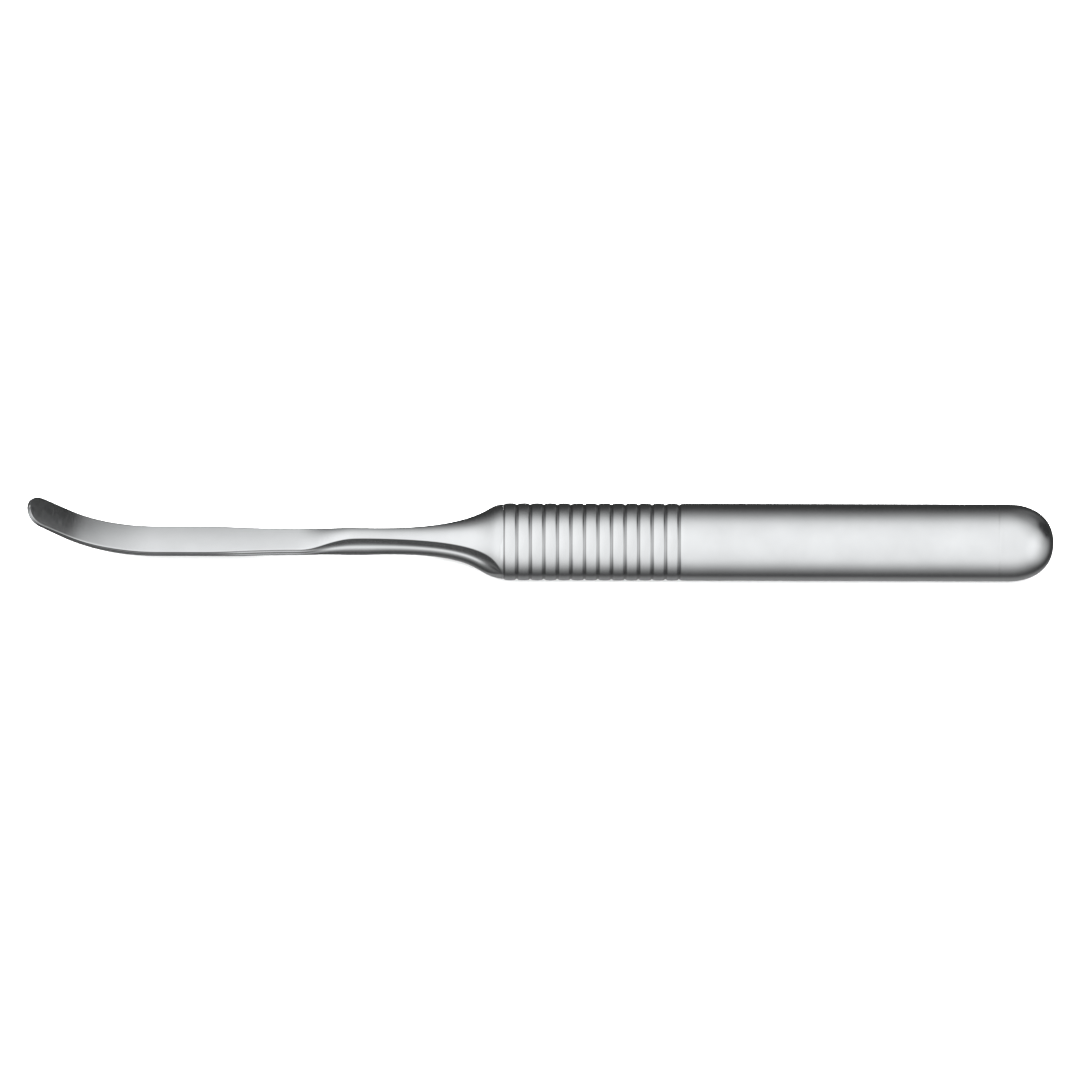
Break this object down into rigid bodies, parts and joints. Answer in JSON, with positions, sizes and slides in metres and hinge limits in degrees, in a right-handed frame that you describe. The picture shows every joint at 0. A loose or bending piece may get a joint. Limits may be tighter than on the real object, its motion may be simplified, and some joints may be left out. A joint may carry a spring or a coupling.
{
  "type": "dental elevator",
  "caption": "All-steel dental elevator: thin flat blade with an upturned rounded tip, slim fluted neck, and a round hollow handle with a ribbed grip and a domed end.",
  "frame": {"origin": "middle of the length and of the width, on the surface that the handle lies on", "axes": "+X along the handle from the blade's tip to the rounded end, +Y across, +Z the way the front of the blade faces and its tip curves"},
  "size_m": [0.17, 0.0128, 0.0186],
  "materials": {
    "working_steel": "satin ground and polished stainless steel",
    "handle_steel": "satin turned stainless steel",
    "inner_steel": "as-turned stainless steel",
    "braze_alloy": "brazing filler metal"
  },
  "bodies": {
    "root": {"blade_and_shank": "working_steel", "ribbed_grip": "handle_steel", "barrel": "handle_steel", "end_cap": "handle_steel", "tang_bush": "inner_steel", "tang_pin": "inner_steel", "joining_ferrule": "inner_steel", "front_braze_ring": "braze_alloy", "ferrule_front_braze_ring": "braze_alloy", "ferrule_rear_braze_ring": "braze_alloy", "end_cap_braze_ring": "braze_alloy"}
  },
  "joints": []
}
